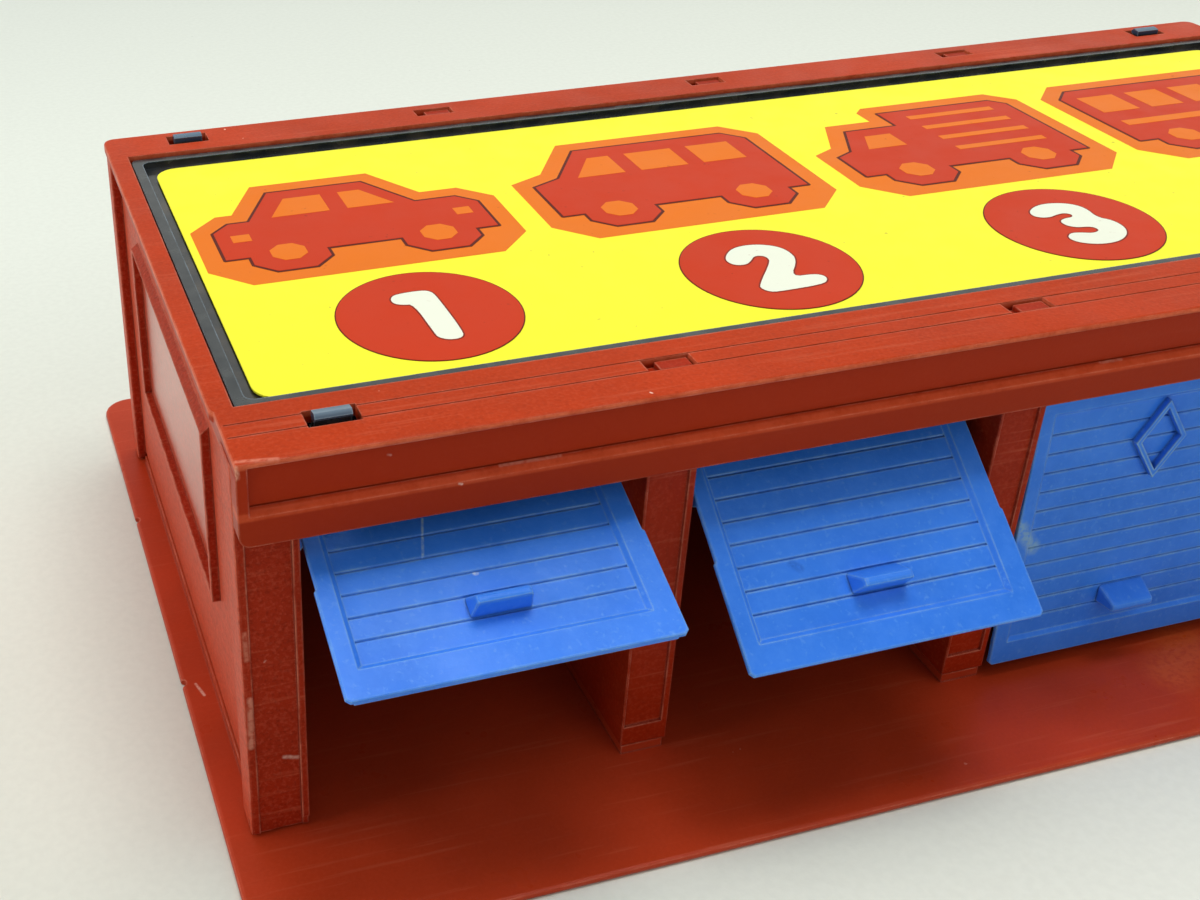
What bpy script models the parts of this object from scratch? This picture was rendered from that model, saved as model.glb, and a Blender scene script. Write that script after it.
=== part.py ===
# Toy parking garage: four bays under one roof, each with a tip-up door.
# Metres, +Z up. The doors face -Y, the origin is the middle of the base's underside.
import math

import bmesh
import bpy
from mathutils import Matrix, Vector

# Layout
BAY_COUNT = 4
BAY_PITCH = 0.0480
PILLAR_W = 0.0064
PILLAR_D = 0.0220
BODY_DEPTH = 0.0918
APRON_FRONT = 0.0180
APRON_BACK = 0.0177
SEAT_GAP = 0.0003

# Base
BASE_T = 0.0010
BASE_EDGE_R = 0.00045
BASE_CORNER_R = 0.0040
BASE_MARGIN = 0.0046
KERB_H = 0.0013
KERB_LIP = 0.00035
NOTCH_R = 0.0007
NOTCH_FRONT_Y = 0.0305
NOTCH_BACK_INSET = 0.0207
KERB_END_GAP = 0.0010

# Walls
END_OUT = 0.00276
END_WALL_T = 0.0016
BACK_WALL_T = 0.0016
WEB_T = 0.0020
SIDE_PLATE_T = 0.0014
FACE_PLATE_T = 0.0016
POST_PROUD = 0.0014
FRONT_POST_W = 0.0050
BACK_POST_W = 0.0035
FACE_RECESS = 0.00035
FACE_BEAD = 0.0009
FACE_RIB = 0.0003
FACE_SILL = 0.0031
TOE_T = 0.0008
FOOT_SLIT_Y = 0.0010
FOOT_SLIT_W = 0.0004
FOOT_SLIT_H = 0.0018
FRAME_FRONT_Y = 0.0200
FRAME_BACK_INSET = 0.0183
FRAME_LOW_Z = 0.0223
FRAME_TOP_DROP = 0.00924
FRAME_RIB_W = 0.0010
FRAME_PROUD = 0.0011
FRAME_SLOPE = 0.0009

# Roof frame and fascia
ROOF_TOP_Z = 0.05754
ROOF_T = 0.0016
ROOF_OVERHANG_SIDE = 0.00175
ROOF_OVERHANG_BACK = 0.0004
ROOF_FRONT_INSET = 0.0004
ROOF_FRONT_ZONE = 0.0105
ROOF_CORNER_R = 0.0015
ROOF_EDGE_R = 0.0003
OPENING_INSET_X = 0.00095
OPENING_FRONT_Y = 0.00855
OPENING_BACK_INSET = 0.0078
FASCIA_REACH = 0.0030
FASCIA_T = 0.0027
FASCIA_DROP = 0.01064
FASCIA_CORNER_R = 0.0014
BAND_DROP = 0.00064
BAND_H = 0.0054
BAND_DEPTH = 0.00105
LEDGE_DROP = 0.0008
LEDGE_GROOVE = 0.00015
BAND_END = 0.0013
SKIRT_T = 0.0009
SKIRT_H = 0.0015
TAB_SLOT_L = 0.0061
TAB_SLOT_W = 0.0026
FRONT_SLOT_Y = 0.0037
BACK_SLOT_INSET = 0.0031
CLIP_SLOT_L = 0.0061
CLIP_SLOT_W = 0.0034
CLIP_X = 0.0879
TAB_L = 0.0040
TAB_SHIFT = 0.00065
TAB_CLEAR = 0.0004
TAB_DROP = 0.0003
TAB_SHOULDER = 0.0007
STEP_LINE_W = 0.0002
STEP_LINE_D = 0.0001

# Smoked roof panel and its label
PANEL_T = 0.0012
PANEL_LEDGE = 0.0023
PANEL_CLEAR = 0.0003
RIM_W = 0.0015
RIM_DROP = 0.0005
LABEL_DROP = 0.0011
LABEL_T = 0.00025
LABEL_EDGE_X = 0.0032
LABEL_EDGE_FRONT = 0.0023
LABEL_EDGE_BACK = 0.0038
LABEL_CORNER_R = 0.0032
LABEL_GAP = 0.00025
CLIP_RISE = 0.0008
CLIP_W = 0.0043
CLIP_T = 0.0017
CLIP_HOOK = 0.0005
CLIP_HOOK_H = 0.0007

# Doors
DOOR_GAP_LEFT = 0.0004
DOOR_GAP_RIGHT = 0.0019
DOOR_SETBACK = 0.0005
DOOR_BOTTOM_Z = 0.0024
DOOR_HEADROOM = 0.00954
DOOR_T = 0.0014
DOOR_PLATE_T = 0.0007
DOOR_BACK_INSET = 0.0010
DOOR_CHAMFER = 0.0006
DOOR_EDGE_R = 0.0002
DOOR_JOG = 0.00025
DOOR_JOG_UP = 0.0136
STILE_LEFT = 0.0028
STILE_RIGHT = 0.0036
FIELD_SLOPE = 0.0006
RAIL_H = 0.0041
HEAD_RAIL_H = 0.00688
PLANK_COUNT = 12
PLANK_SINK = 0.0005
GROOVE_W = 0.00035
GROOVE_D = 0.0002
GROOVE_LEAD = 0.0001
PIVOT_BACK = 0.0157
PIVOT_DOWN = 0.0162
ARM_T = 0.0013
ARM_HALF = 0.0085
EYE_R = 0.0030
PIP_R = 0.0014
PIP_CLEAR = 0.00025
PIP_REACH = 0.0011
HANDLE_W = 0.0073
HANDLE_H = 0.0028
HANDLE_LOW = 0.0071
HANDLE_OUT = 0.0026
HANDLE_LIP = 0.0011
HANDLE_TAPER = 0.0004
DIAMOND_DOWN = 0.0128
DIAMOND_HALF_W = 0.0039
DIAMOND_HALF_H = 0.00585
DIAMOND_RIDGE = 0.0008
DIAMOND_PROUD = 0.0009
DOOR_ANGLES = (68.1, 52.7, 2.5, 0.0)

# Sizes that follow from those above
HALF_ROW = BAY_PITCH * BAY_COUNT / 2
BAY_OPEN = BAY_PITCH - PILLAR_W
WALL_X = HALF_ROW + END_OUT
WALL_IN_X = WALL_X - END_WALL_T
POST_X = WALL_X + POST_PROUD
ROOF_X = WALL_X + ROOF_OVERHANG_SIDE
BASE_X = WALL_X + BASE_MARGIN
BASE_W = APRON_FRONT + BODY_DEPTH + APRON_BACK
FRONT_Y = APRON_FRONT - BASE_W / 2
BACK_Y = FRONT_Y + BODY_DEPTH
BACK_WALL_Y = BACK_Y - BACK_WALL_T
SEAT_Z = BASE_T + KERB_H + SEAT_GAP
ROOF_LOW_Z = ROOF_TOP_Z - ROOF_T
OPENING_BACK_Y = BODY_DEPTH - OPENING_BACK_INSET
BACK_SLOT_Y = BODY_DEPTH - BACK_SLOT_INSET
FASCIA_LOW_Z = ROOF_TOP_Z - FASCIA_DROP
BAND_HIGH_Z = ROOF_TOP_Z - BAND_DROP
BAND_LOW_Z = BAND_HIGH_Z - BAND_H
POST_TOP_Z = ROOF_LOW_Z - SEAT_GAP
PANEL_HIGH_Z = ROOF_LOW_Z - PANEL_CLEAR
PANEL_LOW_Z = PANEL_HIGH_Z - PANEL_T
WALL_TOP_Z = PANEL_LOW_Z - SEAT_GAP
OPENING_X = WALL_X - OPENING_INSET_X
PIVOT_Y = FRONT_Y + DOOR_SETBACK + PIVOT_BACK
DOOR_TOP_Z = ROOF_TOP_Z - DOOR_HEADROOM
DOOR_H = DOOR_TOP_Z - DOOR_BOTTOM_Z
PLANK_PITCH = (DOOR_H - RAIL_H - HEAD_RAIL_H) / PLANK_COUNT
PIVOT_Z = DOOR_TOP_Z - PIVOT_DOWN
PIVOT_UP = PIVOT_Z - DOOR_BOTTOM_Z
BIG = 0.02

COLOURS = {
    "red": (0.45, 0.075, 0.030, 1.0),
    "smoked": (0.075, 0.095, 0.115, 1.0),
    "yellow": (0.95, 0.86, 0.06, 1.0),
    "blue": (0.055, 0.200, 0.640, 1.0),
}


def clear_scene():
    for obj in list(bpy.data.objects):
        bpy.data.objects.remove(obj, do_unlink=True)


def new_collection(name):
    collection = bpy.data.collections.new(name)
    bpy.context.scene.collection.children.link(collection)
    return collection


def plastic(name, colour, roughness):
    """One material, the plastic of one moulding."""
    material = bpy.data.materials.new(name)
    material.use_nodes = True
    shader = material.node_tree.nodes["Principled BSDF"]
    shader.inputs["Base Color"].default_value = colour
    shader.inputs["Roughness"].default_value = roughness
    shader.inputs["Metallic"].default_value = 0.0
    material.diffuse_color = colour
    return material


def place(obj, collection):
    for old in list(obj.users_collection):
        old.objects.unlink(obj)
    collection.objects.link(obj)


def box(name, low, high, edge=0.0):
    """A cube primitive between two corners, its edges rounded by edge."""
    low, high = Vector(low), Vector(high)
    bpy.ops.mesh.primitive_cube_add(size=1.0)
    obj = bpy.context.active_object
    obj.name = name
    obj.data.transform(Matrix.Diagonal((*(high - low), 1.0)))
    obj.data.transform(Matrix.Translation((low + high) / 2))
    if edge > 0.0:
        bevel = obj.modifiers.new("Rounded edges", "BEVEL")
        bevel.width = edge
        bevel.segments = 2
    return obj


def rod(name, start_x, end_x, y, z, radius, sides=24):
    """A round bar along X."""
    bpy.ops.mesh.primitive_cylinder_add(vertices=sides, radius=radius, depth=abs(end_x - start_x))
    obj = bpy.context.active_object
    obj.name = name
    obj.data.transform(Matrix.Rotation(math.pi / 2, 4, "Y"))
    obj.data.transform(Matrix.Translation(((start_x + end_x) / 2, y, z)))
    return obj


def outline_solid(name, points, start, end, axis, edge=0.0):
    """A flat outline extruded from start to end along an axis, with rims rounded by edge.

    The outline is in (x, y) for Z, in (y, z) for X and in (x, z) for Y.
    """
    curve = bpy.data.curves.new(name, "CURVE")
    curve.dimensions = "2D"
    curve.fill_mode = "BOTH"
    curve.extrude = abs(end - start) / 2 - edge
    curve.bevel_depth = edge
    curve.bevel_resolution = 1
    spline = curve.splines.new("POLY")
    spline.points.add(len(points) - 1)
    for point, (u, v) in zip(spline.points, points):
        point.co = (u, v, 0.0, 1.0)
    spline.use_cyclic_u = True
    guide = bpy.data.objects.new(name, curve)
    bpy.context.scene.collection.objects.link(guide)
    middle = (start + end) / 2
    if axis == "X":
        guide.rotation_euler = (math.pi / 2, 0.0, math.pi / 2)
        guide.location = (middle, 0.0, 0.0)
    elif axis == "Y":
        guide.rotation_euler = (math.pi / 2, 0.0, 0.0)
        guide.location = (0.0, middle, 0.0)
    else:
        guide.location = (0.0, 0.0, middle)
    return meshed(guide)


def meshed(guide):
    """The curve object as a welded mesh object, because a curve takes no Boolean."""
    bpy.context.view_layer.update()
    evaluated = guide.evaluated_get(bpy.context.evaluated_depsgraph_get())
    mesh = bpy.data.meshes.new_from_object(evaluated)
    work = bmesh.new()
    work.from_mesh(mesh)
    bmesh.ops.remove_doubles(work, verts=work.verts, dist=0.000001)
    bmesh.ops.recalc_face_normals(work, faces=work.faces)
    work.to_mesh(mesh)
    work.free()
    mesh.transform(guide.matrix_world)
    name = guide.name
    bpy.data.objects.remove(guide, do_unlink=True)
    obj = bpy.data.objects.new(name, mesh)
    bpy.context.scene.collection.objects.link(obj)
    return obj


def rounded_rectangle(x0, x1, y0, y1, radius, steps=6):
    """The corners of a rectangle with round corners, anticlockwise."""
    centres = (
        (x1 - radius, y1 - radius, 0.0),
        (x0 + radius, y1 - radius, 90.0),
        (x0 + radius, y0 + radius, 180.0),
        (x1 - radius, y0 + radius, 270.0),
    )
    points = []
    for cx, cy, start in centres:
        for step in range(steps + 1):
            angle = math.radians(start + 90.0 * step / steps)
            points.append((cx + radius * math.cos(angle), cy + radius * math.sin(angle)))
    return points


def slab(name, x0, x1, y0, y1, z0, z1, corner, edge):
    """A flat plate with round corners in plan and round rims."""
    points = rounded_rectangle(x0 + edge, x1 - edge, y0 + edge, y1 - edge, corner)
    return outline_solid(name, points, z0, z1, "Z", edge)


def boolean(target, other, operation):
    modifier = target.modifiers.new(operation.title() + " " + other.name, "BOOLEAN")
    modifier.operation = operation
    modifier.solver = "EXACT"
    modifier.object = other
    other.hide_render = True
    other.display_type = "WIRE"
    place(other, HELPERS)
    return other


def join(target, other):
    return boolean(target, other, "UNION")


def cut(target, other):
    return boolean(target, other, "DIFFERENCE")


def finish(obj, name, material):
    """Names a sub-part, gives it its material and its collection, and shades its round faces smooth."""
    obj.name = name
    obj.data.name = name
    obj.data.materials.clear()
    obj.data.materials.append(material)
    place(obj, GARAGE)
    obj.data.shade_smooth()
    obj.data.set_sharp_from_angle(angle=math.radians(35.0))
    return obj


def divider_centres():
    """X of each pillar between two bays."""
    return [BAY_PITCH * k - HALF_ROW for k in range(1, BAY_COUNT)]


def bay_centres():
    return [BAY_PITCH * (k + 0.5) - HALF_ROW for k in range(BAY_COUNT)]


def base_tray():
    """The flat base with kerbs that carry the feet of the walls."""
    half_w = BASE_W / 2
    base = slab("base", -BASE_X, BASE_X, -half_w, half_w, 0.0, BASE_T, BASE_CORNER_R, BASE_EDGE_R)
    low, high = BASE_T / 2, BASE_T + KERB_H
    for side in (-1, 1):
        kerb_x = sorted((side * (WALL_X + KERB_LIP), side * (WALL_IN_X - KERB_LIP)))
        kerb_low = (kerb_x[0], FRONT_Y + FRONT_POST_W + KERB_END_GAP, low)
        kerb_high = (kerb_x[1], BACK_Y - BACK_POST_W - KERB_END_GAP, high)
        join(base, box("End kerb", kerb_low, kerb_high))
        pad_x = sorted((side * (WALL_IN_X - KERB_LIP * 2), side * (HALF_ROW - PILLAR_W / 2 + FACE_RIB)))
        pad_low = (pad_x[0], FRONT_Y + TOE_T + SEAT_GAP, low)
        join(base, box("End pillar pad", pad_low, (pad_x[1], FRONT_Y + PILLAR_D - FACE_RIB, high)))
        for notch_y in (NOTCH_FRONT_Y, BODY_DEPTH - NOTCH_BACK_INSET):
            bpy.ops.mesh.primitive_cylinder_add(vertices=20, radius=NOTCH_R, depth=BASE_T * 4)
            notch = bpy.context.active_object
            notch.name = "Base notch"
            notch.location = (side * BASE_X, FRONT_Y + notch_y, BASE_T / 2)
            cut(base, notch)
    back_x = WALL_IN_X - SEAT_GAP
    join(base, box("Back kerb", (-back_x, BACK_WALL_Y - KERB_LIP, low), (back_x, BACK_Y + KERB_LIP, high)))
    for x in divider_centres():
        half = PILLAR_W / 2 - FACE_RIB
        join(base, box("Pillar pad", (x - half, FRONT_Y + FACE_RIB, low), (x + half, FRONT_Y + PILLAR_D, high)))
        web = (x + WEB_T / 2, BACK_WALL_Y - SEAT_GAP, high)
        join(base, box("Web kerb", (x - WEB_T / 2, FRONT_Y + PILLAR_D / 2, low), web))
    return finish(base, "base_tray", RED)


def hinge_socket(target, x, reach):
    """The hole that a door's pip turns in, through a side plate."""
    radius = PIP_R + PIP_CLEAR
    cut(target, rod("Socket", x - reach, x + reach, PIVOT_Y, PIVOT_Z, radius))


def face_recess(target, x0, x1, low_z):
    """The sunk flat of a pillar's face."""
    low = (x0, FRONT_Y - BIG, low_z)
    cut(target, box("Face recess", low, (x1, FRONT_Y + FACE_RECESS, WALL_TOP_Z + BIG)))


def roof_tab(wall, name, x, y):
    """A tab that stands in a slot of the roof, with a lower shoulder that fills the rest of the slot."""
    top = ROOF_TOP_Z - TAB_DROP
    shoulder_x, half_y = TAB_SLOT_L / 2 - TAB_CLEAR, TAB_SLOT_W / 2 - TAB_CLEAR
    foot = WALL_TOP_Z - FACE_PLATE_T
    shoulder_top = top - TAB_SHOULDER
    join(wall, box(name + " shoulder", (x - shoulder_x, y - half_y, foot), (x + shoulder_x, y + half_y, shoulder_top)))
    middle, half = x + TAB_SHIFT, TAB_L / 2
    join(wall, box(name, (middle - half, y - half_y, shoulder_top - TAB_SHOULDER), (middle + half, y + half_y, top)))


def divider_wall(number, x):
    """A hollow pillar with a web behind it, and a tab at each end for the roof."""
    half = PILLAR_W / 2
    low = (x - half, FRONT_Y, SEAT_Z)
    wall = box("divider", low, (x + half, FRONT_Y + PILLAR_D, WALL_TOP_Z), 0.00015)
    inner = half - SIDE_PLATE_T
    hollow_low = (x - inner, FRONT_Y + FACE_PLATE_T, SEAT_Z - BIG)
    hollow_high = (x + inner, FRONT_Y + PILLAR_D - FACE_PLATE_T, WALL_TOP_Z - FACE_PLATE_T)
    cut(wall, box("Pillar hollow", hollow_low, hollow_high))
    web_low = (x - WEB_T / 2, FRONT_Y + PILLAR_D - FACE_PLATE_T / 2, SEAT_Z)
    join(wall, box("Web", web_low, (x + WEB_T / 2, BACK_WALL_Y - SEAT_GAP, WALL_TOP_Z)))
    hinge_socket(wall, x, PILLAR_W)
    face_recess(wall, x - half + FACE_RIB, x + half - FACE_BEAD, SEAT_Z + FACE_SILL)
    roof_tab(wall, "Front tab", x, FRONT_Y + FRONT_SLOT_Y)
    roof_tab(wall, "Back tab", x, FRONT_Y + BACK_SLOT_Y)
    return finish(wall, f"divider_wall_{number}", RED)


def end_wall(side, name):
    """The end wall: a plate with proud corner posts, a raised frame and half a pillar inside."""
    def across(a, b):
        return sorted((side * a, side * b))

    plate_x = across(WALL_IN_X, WALL_X)
    low = (plate_x[0], FRONT_Y, SEAT_Z)
    wall = box("end wall", low, (plate_x[1], BACK_Y, WALL_TOP_Z))
    foot = BASE_T + SEAT_GAP
    posts = ((FRONT_Y, FRONT_Y + FRONT_POST_W), (BACK_Y - BACK_POST_W, BACK_Y))
    for start, end in posts:
        post_x = across(WALL_IN_X, POST_X)
        join(wall, box("Corner post", (post_x[0], start, foot), (post_x[1], end, POST_TOP_Z), 0.0003))
    face_x = HALF_ROW - PILLAR_W / 2
    pillar_x = across(face_x, WALL_IN_X + END_WALL_T / 2)
    pillar_high = (pillar_x[1], FRONT_Y + PILLAR_D, WALL_TOP_Z)
    join(wall, box("End pillar", (pillar_x[0], FRONT_Y, SEAT_Z), pillar_high, 0.00015))
    toe_x = across(face_x + FACE_RIB / 2, WALL_IN_X + END_WALL_T / 2)
    toe_low = (toe_x[0], FRONT_Y + FACE_RECESS / 2, foot + FACE_RIB / 4)
    join(wall, box("Toe", toe_low, (toe_x[1], FRONT_Y + TOE_T, SEAT_Z + TOE_T)))
    hollow_x = across(face_x + SIDE_PLATE_T, WALL_IN_X)
    hollow_low = (hollow_x[0], FRONT_Y + FACE_PLATE_T, foot - BIG)
    hollow_high = (hollow_x[1], FRONT_Y + PILLAR_D - FACE_PLATE_T, WALL_TOP_Z - FACE_PLATE_T)
    cut(wall, box("End pillar hollow", hollow_low, hollow_high))
    seat_x = across(WALL_IN_X - BIG / 4, OPENING_X + PANEL_CLEAR + SEAT_GAP)
    seat_low = (seat_x[0], FRONT_Y - BIG, WALL_TOP_Z)
    cut(wall, box("Panel seat", seat_low, (seat_x[1], BACK_Y + BIG, WALL_TOP_Z + BIG)))
    hinge_socket(wall, side * face_x, SIDE_PLATE_T * 1.5)
    recess_x = across(face_x + FACE_BEAD, WALL_X + FACE_RIB)
    face_recess(wall, *recess_x, -BIG)
    frame_x = across(WALL_X - END_WALL_T / 2, WALL_X + FRAME_PROUD)
    frame_low = (frame_x[0], FRONT_Y + FRAME_FRONT_Y, FRAME_LOW_Z)
    frame_high = (frame_x[1], BACK_Y - FRAME_BACK_INSET, ROOF_TOP_Z - FRAME_TOP_DROP)
    crest = (frame_high[0], frame_high[1], frame_high[2] + FRAME_SLOPE / 4)
    frame = box("Raised frame", frame_low, crest)
    inner_x = across(WALL_X - END_WALL_T, WALL_X + FRAME_PROUD + BIG)
    inner_low = (inner_x[0], frame_low[1] + FRAME_RIB_W, frame_low[2] + FRAME_RIB_W)
    inner_high = (inner_x[1], frame_high[1] - FRAME_RIB_W, frame_high[2] - FRAME_RIB_W)
    cut(frame, box("Raised frame inside", inner_low, inner_high))
    slope = []
    for reach in (-FRAME_PROUD, FRAME_PROUD * 2):
        slope.append((side * (WALL_X + reach), frame_high[2] - FRAME_SLOPE * reach / FRAME_PROUD))
    slope += [(side * (WALL_X + FRAME_PROUD * 2), frame_high[2] + BIG), (side * (WALL_X - FRAME_PROUD), frame_high[2] + BIG)]
    cut(frame, outline_solid("Frame slope", slope, frame_low[1] - BIG, frame_high[1] + BIG, "Y"))
    join(wall, frame)
    slit_x = across(POST_X - POST_PROUD / 2, POST_X + BIG)
    slit_low = (slit_x[0], FRONT_Y + FOOT_SLIT_Y, -BIG)
    slit_high = (slit_x[1], FRONT_Y + FOOT_SLIT_Y + FOOT_SLIT_W, foot + FOOT_SLIT_H)
    cut(wall, box("Foot slit", slit_low, slit_high))
    return finish(wall, name, RED)


def back_wall():
    half = WALL_IN_X - SEAT_GAP
    low = (-half, BACK_WALL_Y, SEAT_Z)
    wall = box("back wall", low, (half, BACK_Y, POST_TOP_Z), 0.0002)
    return finish(wall, "back_wall", RED)


def roof_frame():
    """The roof's frame and the fascia over the doors, one moulding."""
    top, low = ROOF_TOP_Z, ROOF_LOW_Z
    zone_y = FRONT_Y + ROOF_FRONT_ZONE
    back = BACK_Y + ROOF_OVERHANG_BACK
    front_y = FRONT_Y - FASCIA_REACH
    roof = slab("roof", -ROOF_X, ROOF_X, zone_y - 0.003, back, low, top, ROOF_CORNER_R, ROOF_EDGE_R)
    front_x = ROOF_X - ROOF_FRONT_INSET
    front_low = (-front_x, front_y, low)
    join(roof, box("Front strip", front_low, (front_x, zone_y, top), ROOF_EDGE_R))
    face = rounded_rectangle(-front_x, front_x, FASCIA_LOW_Z, top - ROOF_T / 2, FASCIA_CORNER_R)
    fascia = outline_solid("Fascia", face, front_y, front_y + FASCIA_T, "Y", 0.0)
    rounding = fascia.modifiers.new("Rounded edges", "BEVEL")
    rounding.width = ROOF_EDGE_R
    rounding.segments = 2
    rounding.limit_method = "ANGLE"
    join(roof, fascia)
    band_x, back_y = front_x - BAND_END, front_y + BAND_DEPTH
    ledge_z = BAND_LOW_Z - LEDGE_DROP
    band = [(front_y - BIG, BAND_HIGH_Z), (front_y - BIG, ledge_z - LEDGE_DROP), (front_y, ledge_z)]
    band += [(back_y - LEDGE_GROOVE, BAND_LOW_Z), (back_y + LEDGE_GROOVE, BAND_LOW_Z - LEDGE_GROOVE)]
    band += [(back_y, BAND_LOW_Z + LEDGE_GROOVE), (back_y, BAND_HIGH_Z)]
    cut(roof, outline_solid("Sunk band", band, -band_x, band_x, "X"))
    opening_low = (-OPENING_X, FRONT_Y + OPENING_FRONT_Y, low - BIG)
    cut(roof, box("Opening", opening_low, (OPENING_X, FRONT_Y + OPENING_BACK_Y, top + BIG)))
    for side in (-1, 1):
        skirt_x = sorted((side * (WALL_X + SEAT_GAP), side * (WALL_X + SEAT_GAP + SKIRT_T)))
        skirt_low = (skirt_x[0], FRONT_Y + FRONT_POST_W + SEAT_GAP, low - SKIRT_H)
        skirt_high = (skirt_x[1], BACK_Y - BACK_POST_W - SEAT_GAP, low + ROOF_T / 2)
        join(roof, box("Skirt", skirt_low, skirt_high))
        for y in (FRONT_SLOT_Y, BACK_SLOT_Y):
            slot(roof, side * CLIP_X, FRONT_Y + y, CLIP_SLOT_L, CLIP_SLOT_W)
    for x in divider_centres():
        for y in (FRONT_SLOT_Y, BACK_SLOT_Y):
            slot(roof, x, FRONT_Y + y, TAB_SLOT_L, TAB_SLOT_W)
    for way in (-1, 1):
        line_y = FRONT_Y + FRONT_SLOT_Y + way * TAB_SLOT_W / 2
        line_x = front_x - ROOF_EDGE_R * 1.5
        line_low = (-line_x, line_y - STEP_LINE_W / 2, top - STEP_LINE_D)
        cut(roof, box("Step line", line_low, (line_x, line_y + STEP_LINE_W / 2, top + BIG)))
    return finish(roof, "roof_frame", RED)


def slot(roof, x, y, length, width):
    low = (x - length / 2, y - width / 2, ROOF_LOW_Z - BIG / 4)
    cut(roof, box("Slot", low, (x + length / 2, y + width / 2, ROOF_TOP_Z + BIG)))


def roof_panel():
    """The smoked panel: a sheet under the frame, a tray that fills the opening, and four clips."""
    front = FRONT_Y + OPENING_FRONT_Y
    back = FRONT_Y + OPENING_BACK_Y
    sheet_x = OPENING_X + PANEL_CLEAR
    low, high = PANEL_LOW_Z, PANEL_HIGH_Z
    panel = slab("panel", -sheet_x, sheet_x, front - PANEL_LEDGE, back + PANEL_LEDGE, low, high, 0.001, 0.0001)
    tray_x = OPENING_X - PANEL_CLEAR
    y0, y1 = front + PANEL_CLEAR, back - PANEL_CLEAR
    rim_top = ROOF_TOP_Z - RIM_DROP
    rim = slab("Rim", -tray_x, tray_x, y0, y1, (low + high) / 2, rim_top, 0.0008, 0.0002)
    floor_z = ROOF_TOP_Z - LABEL_DROP - LABEL_T - LABEL_GAP
    inner_x = tray_x - RIM_W
    well = slab("Well", -inner_x, inner_x, y0 + RIM_W, y1 - RIM_W, floor_z, floor_z + BIG, 0.0012, 0.0)
    cut(rim, well)
    join(panel, rim)
    for side in (-1, 1):
        for y, way in ((FRONT_SLOT_Y, -1), (BACK_SLOT_Y, 1)):
            x, y = side * CLIP_X, FRONT_Y + y
            ear_y = sorted((y + way * CLIP_T / 2, y - way * (CLIP_SLOT_W + 0.0015)))
            ear_low = (x - CLIP_W / 2, ear_y[0], low)
            join(panel, box("Clip ear", ear_low, (x + CLIP_W / 2, ear_y[1], high)))
            top, near, far = ROOF_TOP_Z + CLIP_RISE, y - way * CLIP_T / 2, y + way * CLIP_T / 2
            stem = far - way * CLIP_HOOK
            prong = [(near, (low + high) / 2), (stem, (low + high) / 2), (stem, top - CLIP_HOOK_H * 1.6)]
            prong += [(far, top - CLIP_HOOK_H), (far, top - CLIP_HOOK), (stem, top), (near, top - CLIP_HOOK / 2)]
            join(panel, outline_solid("Clip prong", prong, x - CLIP_W / 2, x + CLIP_W / 2, "X"))
    return finish(panel, "roof_panel", SMOKED)


def roof_label():
    """The printed sheet that lies in the panel's tray."""
    x = OPENING_X - LABEL_EDGE_X
    y0 = FRONT_Y + OPENING_FRONT_Y + LABEL_EDGE_FRONT
    y1 = FRONT_Y + OPENING_BACK_Y - LABEL_EDGE_BACK
    z1 = ROOF_TOP_Z - LABEL_DROP
    label = slab("label", -x, x, y0, y1, z1 - LABEL_T, z1, LABEL_CORNER_R, 0.0)
    return finish(label, "roof_label", YELLOW)


def plank_field(leaf, x0, x1, front, bottom):
    """Cuts a shallow field with bevelled sides into a door's face, and a V groove at each plank's edge."""
    low, high = bottom + RAIL_H, bottom + RAIL_H + PLANK_PITCH * PLANK_COUNT
    back = front + PLANK_SINK
    flare = FIELD_SLOPE * (PLANK_SINK + GROOVE_LEAD) / PLANK_SINK
    field = box("Plank field", (x0, front - GROOVE_LEAD, low), (x1, back, high))
    for vertex in field.data.vertices:
        if vertex.co.y < front:
            vertex.co.x += math.copysign(flare, vertex.co.x - (x0 + x1) / 2)
            vertex.co.z += math.copysign(flare, vertex.co.z - (low + high) / 2)
    cut(leaf, field)
    slant = GROOVE_LEAD * GROOVE_W / 2 / GROOVE_D
    points = [(front, high - PLANK_PITCH / 2), (front, low + PLANK_PITCH / 2)]
    for k in range(1, PLANK_COUNT):
        z, half = low + PLANK_PITCH * k, GROOVE_W / 2 + slant
        points += [(back - GROOVE_LEAD, z - half), (back + GROOVE_D, z), (back - GROOVE_LEAD, z + half)]
    grooves = outline_solid("Plank grooves", points, x0 + GROOVE_LEAD / 2, x1 - GROOVE_LEAD / 2, "X")
    return [field, cut(leaf, grooves)]


def hinge_arm(x0, x1, front):
    """The side arm from a door's back to its pip, with a round eye."""
    points = [(front + DOOR_PLATE_T / 2, -ARM_HALF)]
    for step in range(13):
        angle = math.radians(-110.0 + 220.0 * step / 12)
        points.append((EYE_R * math.cos(angle), EYE_R * math.sin(angle)))
    points.append((front + DOOR_PLATE_T / 2, ARM_HALF))
    return outline_solid("Hinge arm", points, x0, x1, "X")


def diamond(front):
    """The hollow raised diamond near the top of a door's face."""
    centre = PIVOT_DOWN - DIAMOND_DOWN
    middle = (DOOR_GAP_LEFT - DOOR_GAP_RIGHT) / 2

    def corners(half_w, half_h):
        return [
            (middle + half_w, centre),
            (middle, centre + half_h),
            (middle - half_w, centre),
            (middle, centre - half_h),
        ]

    start = front + PLANK_SINK + GROOVE_D * 1.5
    end = front + PLANK_SINK - DIAMOND_PROUD
    ridge = outline_solid("Diamond", corners(DIAMOND_HALF_W, DIAMOND_HALF_H), start, end, "Y")
    inner_w = DIAMOND_HALF_W - DIAMOND_RIDGE
    inner_h = DIAMOND_HALF_H * inner_w / DIAMOND_HALF_W
    cut(ridge, outline_solid("Diamond inside", corners(inner_w, inner_h), start + BIG, end - BIG, "Y"))
    return ridge


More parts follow.
